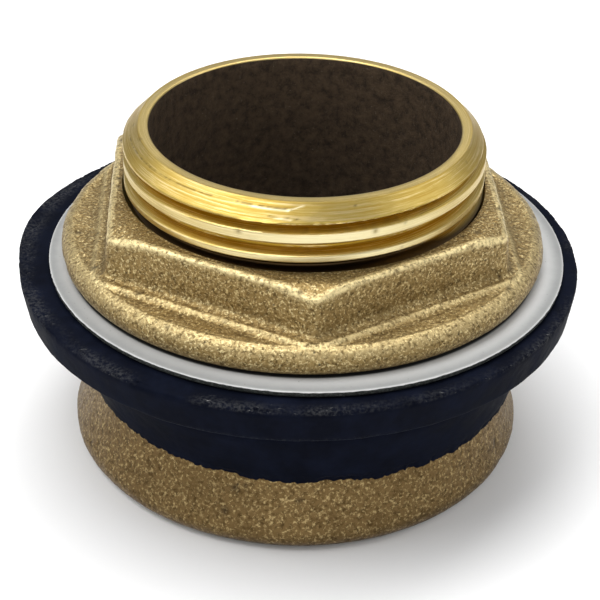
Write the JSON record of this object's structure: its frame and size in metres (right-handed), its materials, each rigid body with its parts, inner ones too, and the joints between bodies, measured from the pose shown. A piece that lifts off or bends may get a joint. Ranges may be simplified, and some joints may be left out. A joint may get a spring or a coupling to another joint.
{
  "type": "thru hull fitting",
  "caption": "Brass through-wall fitting with a threaded barrel, cone foot, stepped rubber seal, plastic friction washer and flanged hexagon nut.",
  "frame": {"origin": "centre of the foot's bottom face, on the barrel's axis", "axes": "+Z along the barrel's axis towards its threaded end; the nut's hexagon has a corner close to -Y"},
  "size_m": [0.0668, 0.0668, 0.041],
  "materials": {
    "body_brass": "machined bright on the barrel, as cast below and in the bore",
    "nut_brass": "sand cast, unpolished",
    "washer_plastic": "smooth pale grey",
    "seal_rubber": "matt moulded black with torn flash at the edges"
  },
  "bodies": {
    "body": {"barrel_body": "body_brass"},
    "washer": {"friction_washer": "washer_plastic"},
    "nut": {"hex_nut": "nut_brass"},
    "seal": {"rubber_seal": "seal_rubber"}
  },
  "joints": [
    {"name": "washer_lift", "type": "slide", "parent": "body", "child": "washer", "axis": [0, 0, 1], "range_m": [0, 0.0162]},
    {"name": "nut_spin", "type": "hinge", "parent": "washer", "child": "nut", "pos_m": [0, 0, 0.0247], "axis": [0, 0, 1], "range_deg": [0, 2520]},
    {"name": "seal_lift", "type": "slide", "parent": "body", "child": "seal", "axis": [0, 0, 1], "range_m": [0, 0.0162]}
  ],
  "couplings": [
    {"joint": "washer_lift", "follows": "nut_spin", "m_per_rad": 0.00036749},
    {"joint": "seal_lift", "follows": "nut_spin", "m_per_rad": 0.00036749}
  ]
}
